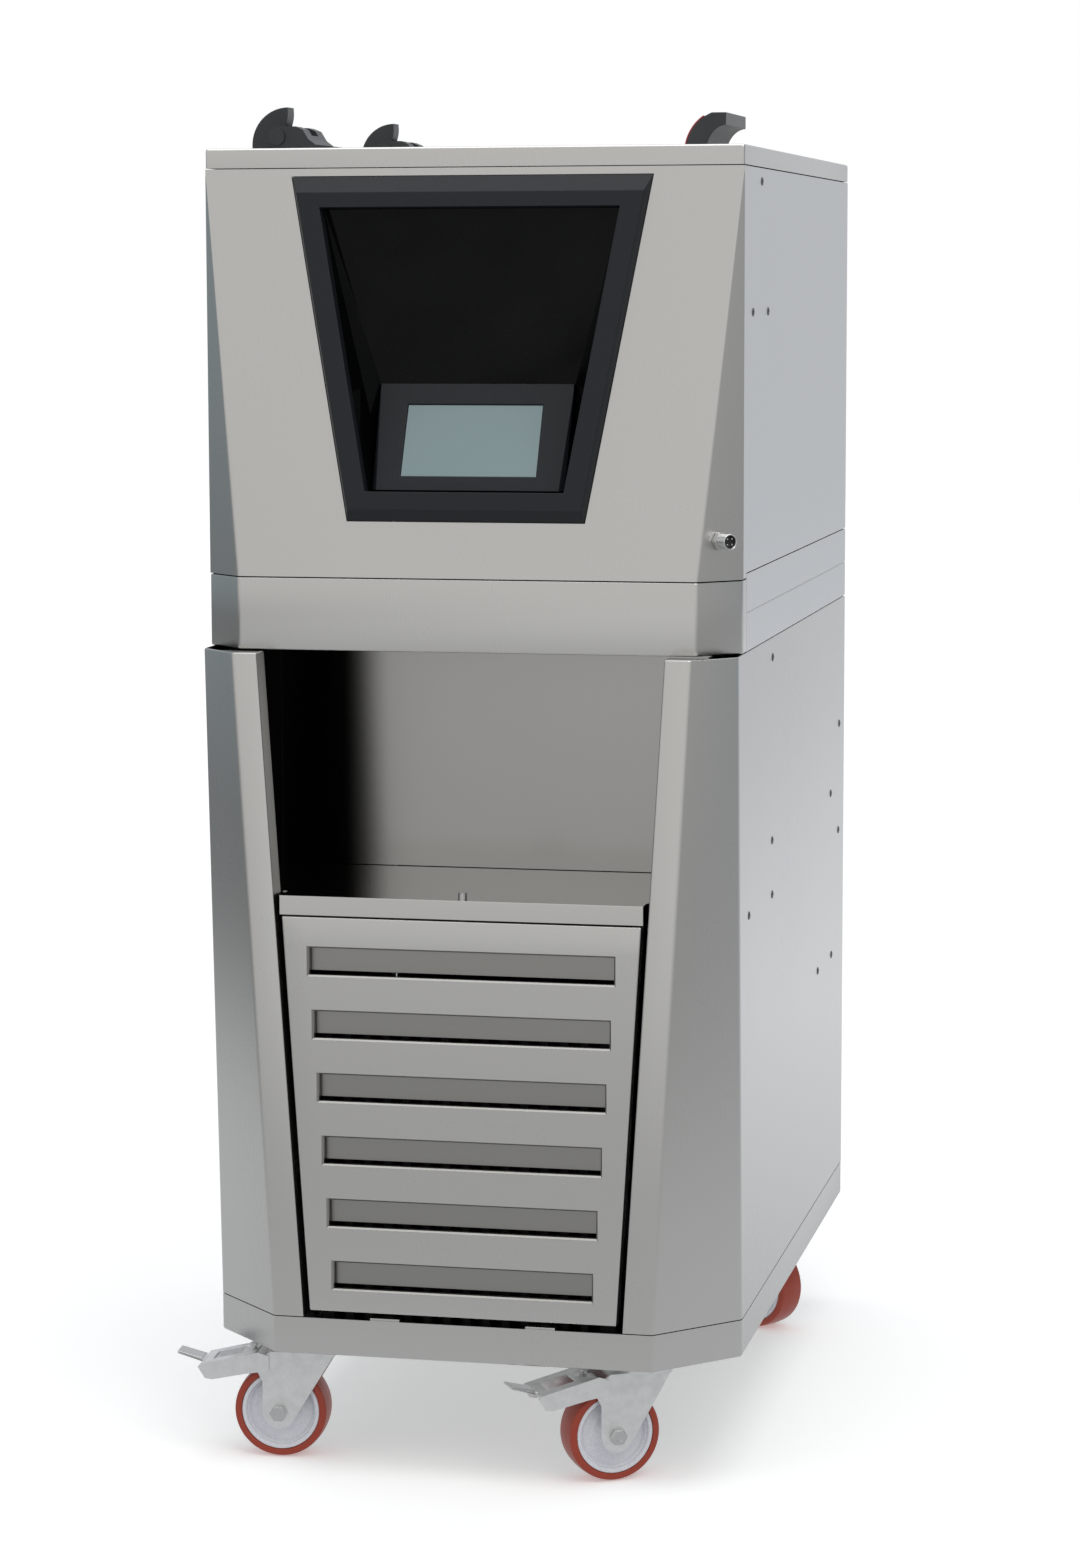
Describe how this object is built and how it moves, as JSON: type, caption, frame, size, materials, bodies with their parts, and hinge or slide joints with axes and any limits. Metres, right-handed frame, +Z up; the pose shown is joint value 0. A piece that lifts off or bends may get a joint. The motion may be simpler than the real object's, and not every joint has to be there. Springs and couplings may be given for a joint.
{
  "type": "thermostatic water bath cabinet",
  "caption": "Floor-standing stainless thermostatic water bath on casters, with a sunk tank under a hinged lid, a recessed touch-screen console, an open bay and a tilting air grille.",
  "frame": {"origin": "on the floor, under the middle of the cabinet in width and depth; the floor_centre mount marks it", "axes": "+Z up, +Y towards the rear, +X to the right of someone facing the grille"},
  "size_m": [0.4803, 0.6868, 1.1267],
  "materials": {
    "front_steel": "satin brushed stainless sheet, grain along the length",
    "side_steel": "satin brushed stainless sheet, cooler and lighter",
    "liner_steel": "plain rolled stainless sheet",
    "bright_steel": "bright zinc-plated or polished steel",
    "bezel_plastic": "satin dark blue-grey moulding",
    "recess_gloss": "gloss black panel",
    "screen_glass": "touch screen, off",
    "black_plastic": "satin black nylon moulding",
    "red_accent": "red soft insert",
    "seal_rubber": "grey silicone",
    "coil_aluminium": "bare aluminium fins",
    "unit_black": "black enamel",
    "board_green": "circuit board",
    "caster_tread": "orange-red polyurethane",
    "caster_core": "pale grey-lavender nylon"
  },
  "bodies": {
    "cabinet": {"base_pan": "front_steel", "lower_side_panel_right": "side_steel", "lower_side_panel_left": "side_steel", "rear_panel": "side_steel", "bay_liner": "liner_steel", "shelf": "front_steel", "belt_front": "front_steel", "belt_side_right": "side_steel", "belt_side_left": "side_steel", "equipment_deck": "liner_steel", "upper_front_panel": "front_steel", "upper_side_panel_right": "side_steel", "upper_side_panel_left": "side_steel", "sensor_socket": "bright_steel", "bezel": "bezel_plastic", "recess_shell": "recess_gloss", "console_housing": "bezel_plastic", "touchscreen": "screen_glass", "top_cover": "front_steel", "water_tank": "liner_steel", "heating_element": "bright_steel", "hinge_base_front": "black_plastic", "hinge_base_rear": "black_plastic", "condenser": "coil_aluminium", "fan_shroud": "unit_black", "compressor": "unit_black", "circulation_pump": "unit_black", "control_board": "board_green", "power_inlet": "black_plastic", "drain_valve": "bright_steel"},
    "lid": {"tank_lid": "front_steel", "lid_seal": "seal_rubber", "lid_handle": "black_plastic", "handle_trim": "red_accent", "hinge_arm_front": "black_plastic", "hinge_arm_rear": "black_plastic"},
    "grille_door": {"grille_panel": "front_steel", "baffle_plate": "liner_steel"},
    "latch": {"latch_pin": "bright_steel"},
    "fan": {"fan_rotor": "unit_black"},
    "switch": {"power_switch": "black_plastic"},
    "drain_control": {"drain_knob": "black_plastic"},
    "front_right_swivel": {"front_right_fork": "bright_steel", "front_right_axle_bolt": "bright_steel"},
    "front_right_wheel": {"front_right_tread": "caster_tread", "front_right_core": "caster_core"},
    "front_right_brake": {"front_right_brake_pedal": "bright_steel"},
    "front_left_swivel": {"front_left_fork": "bright_steel", "front_left_axle_bolt": "bright_steel"},
    "front_left_wheel": {"front_left_tread": "caster_tread", "front_left_core": "caster_core"},
    "front_left_brake": {"front_left_brake_pedal": "bright_steel"},
    "rear_right_swivel": {"rear_right_fork": "bright_steel", "rear_right_axle_bolt": "bright_steel"},
    "rear_right_wheel": {"rear_right_tread": "caster_tread", "rear_right_core": "caster_core"},
    "rear_left_swivel": {"rear_left_fork": "bright_steel", "rear_left_axle_bolt": "bright_steel"},
    "rear_left_wheel": {"rear_left_tread": "caster_tread", "rear_left_core": "caster_core"}
  },
  "joints": [
    {"name": "lid_hinge", "type": "hinge", "parent": "cabinet", "child": "lid", "pos_m": [-0.181, 0, 1.1017], "axis": [0, -1, 0], "range_deg": [0, 65]},
    {"name": "grille_tilt", "type": "hinge", "parent": "cabinet", "child": "grille_door", "pos_m": [0, -0.3305, 0.1403], "axis": [1, 0, 0], "range_deg": [0, 30]},
    {"name": "latch_pull", "type": "slide", "parent": "cabinet", "child": "latch", "axis": [0, 0, 1], "range_m": [0, 0.008], "stiffness_N_per_m": 200, "springref_m": -0.01},
    {"name": "fan_spin", "type": "hinge", "parent": "cabinet", "child": "fan", "pos_m": [0, -0.2647, 0.2478], "axis": [0, 1, 0], "continuous": true},
    {"name": "switch_rock", "type": "hinge", "parent": "cabinet", "child": "switch", "pos_m": [0.13, 0.333, 0.7365], "axis": [1, 0, 0], "range_deg": [0, 14]},
    {"name": "drain_turn", "type": "hinge", "parent": "cabinet", "child": "drain_control", "pos_m": [-0.12, 0.333, 0.722], "axis": [0, 1, 0], "range_deg": [0, 90]},
    {"name": "front_right_steer", "type": "hinge", "parent": "cabinet", "child": "front_right_swivel", "pos_m": [0.1395, -0.276, 0.1], "axis": [0, 0, 1], "continuous": true},
    {"name": "front_right_roll", "type": "hinge", "parent": "front_right_swivel", "child": "front_right_wheel", "pos_m": [0.1155, -0.29042, 0.04], "axis": [0.515, -0.8572, 0], "continuous": true},
    {"name": "front_right_brake_release", "type": "hinge", "parent": "front_right_swivel", "child": "front_right_brake", "pos_m": [0.10436, -0.29712, 0.082], "axis": [-0.515, 0.8572, 0], "range_deg": [0, 8]},
    {"name": "front_left_steer", "type": "hinge", "parent": "cabinet", "child": "front_left_swivel", "pos_m": [-0.1395, -0.276, 0.1], "axis": [0, 0, 1], "continuous": true},
    {"name": "front_left_roll", "type": "hinge", "parent": "front_left_swivel", "child": "front_left_wheel", "pos_m": [-0.16743, -0.27795, 0.04], "axis": [0.0698, -0.9976, 0], "continuous": true},
    {"name": "front_left_brake_release", "type": "hinge", "parent": "front_left_swivel", "child": "front_left_brake", "pos_m": [-0.1804, -0.27886, 0.082], "axis": [-0.0698, 0.9976, 0], "range_deg": [0, 8]},
    {"name": "rear_right_steer", "type": "hinge", "parent": "cabinet", "child": "rear_right_swivel", "pos_m": [0.1395, 0.224, 0.1], "axis": [0, 0, 1], "continuous": true},
    {"name": "rear_right_roll", "type": "hinge", "parent": "rear_right_swivel", "child": "rear_right_wheel", "pos_m": [0.1635, 0.20958, 0.04], "axis": [0.515, 0.8572, 0], "continuous": true},
    {"name": "rear_left_steer", "type": "hinge", "parent": "cabinet", "child": "rear_left_swivel", "pos_m": [-0.1395, 0.224, 0.1], "axis": [0, 0, 1], "continuous": true},
    {"name": "rear_left_roll", "type": "hinge", "parent": "rear_left_swivel", "child": "rear_left_wheel", "pos_m": [-0.16546, 0.23449, 0.04], "axis": [-0.3746, -0.9272, 0], "continuous": true}
  ]
}
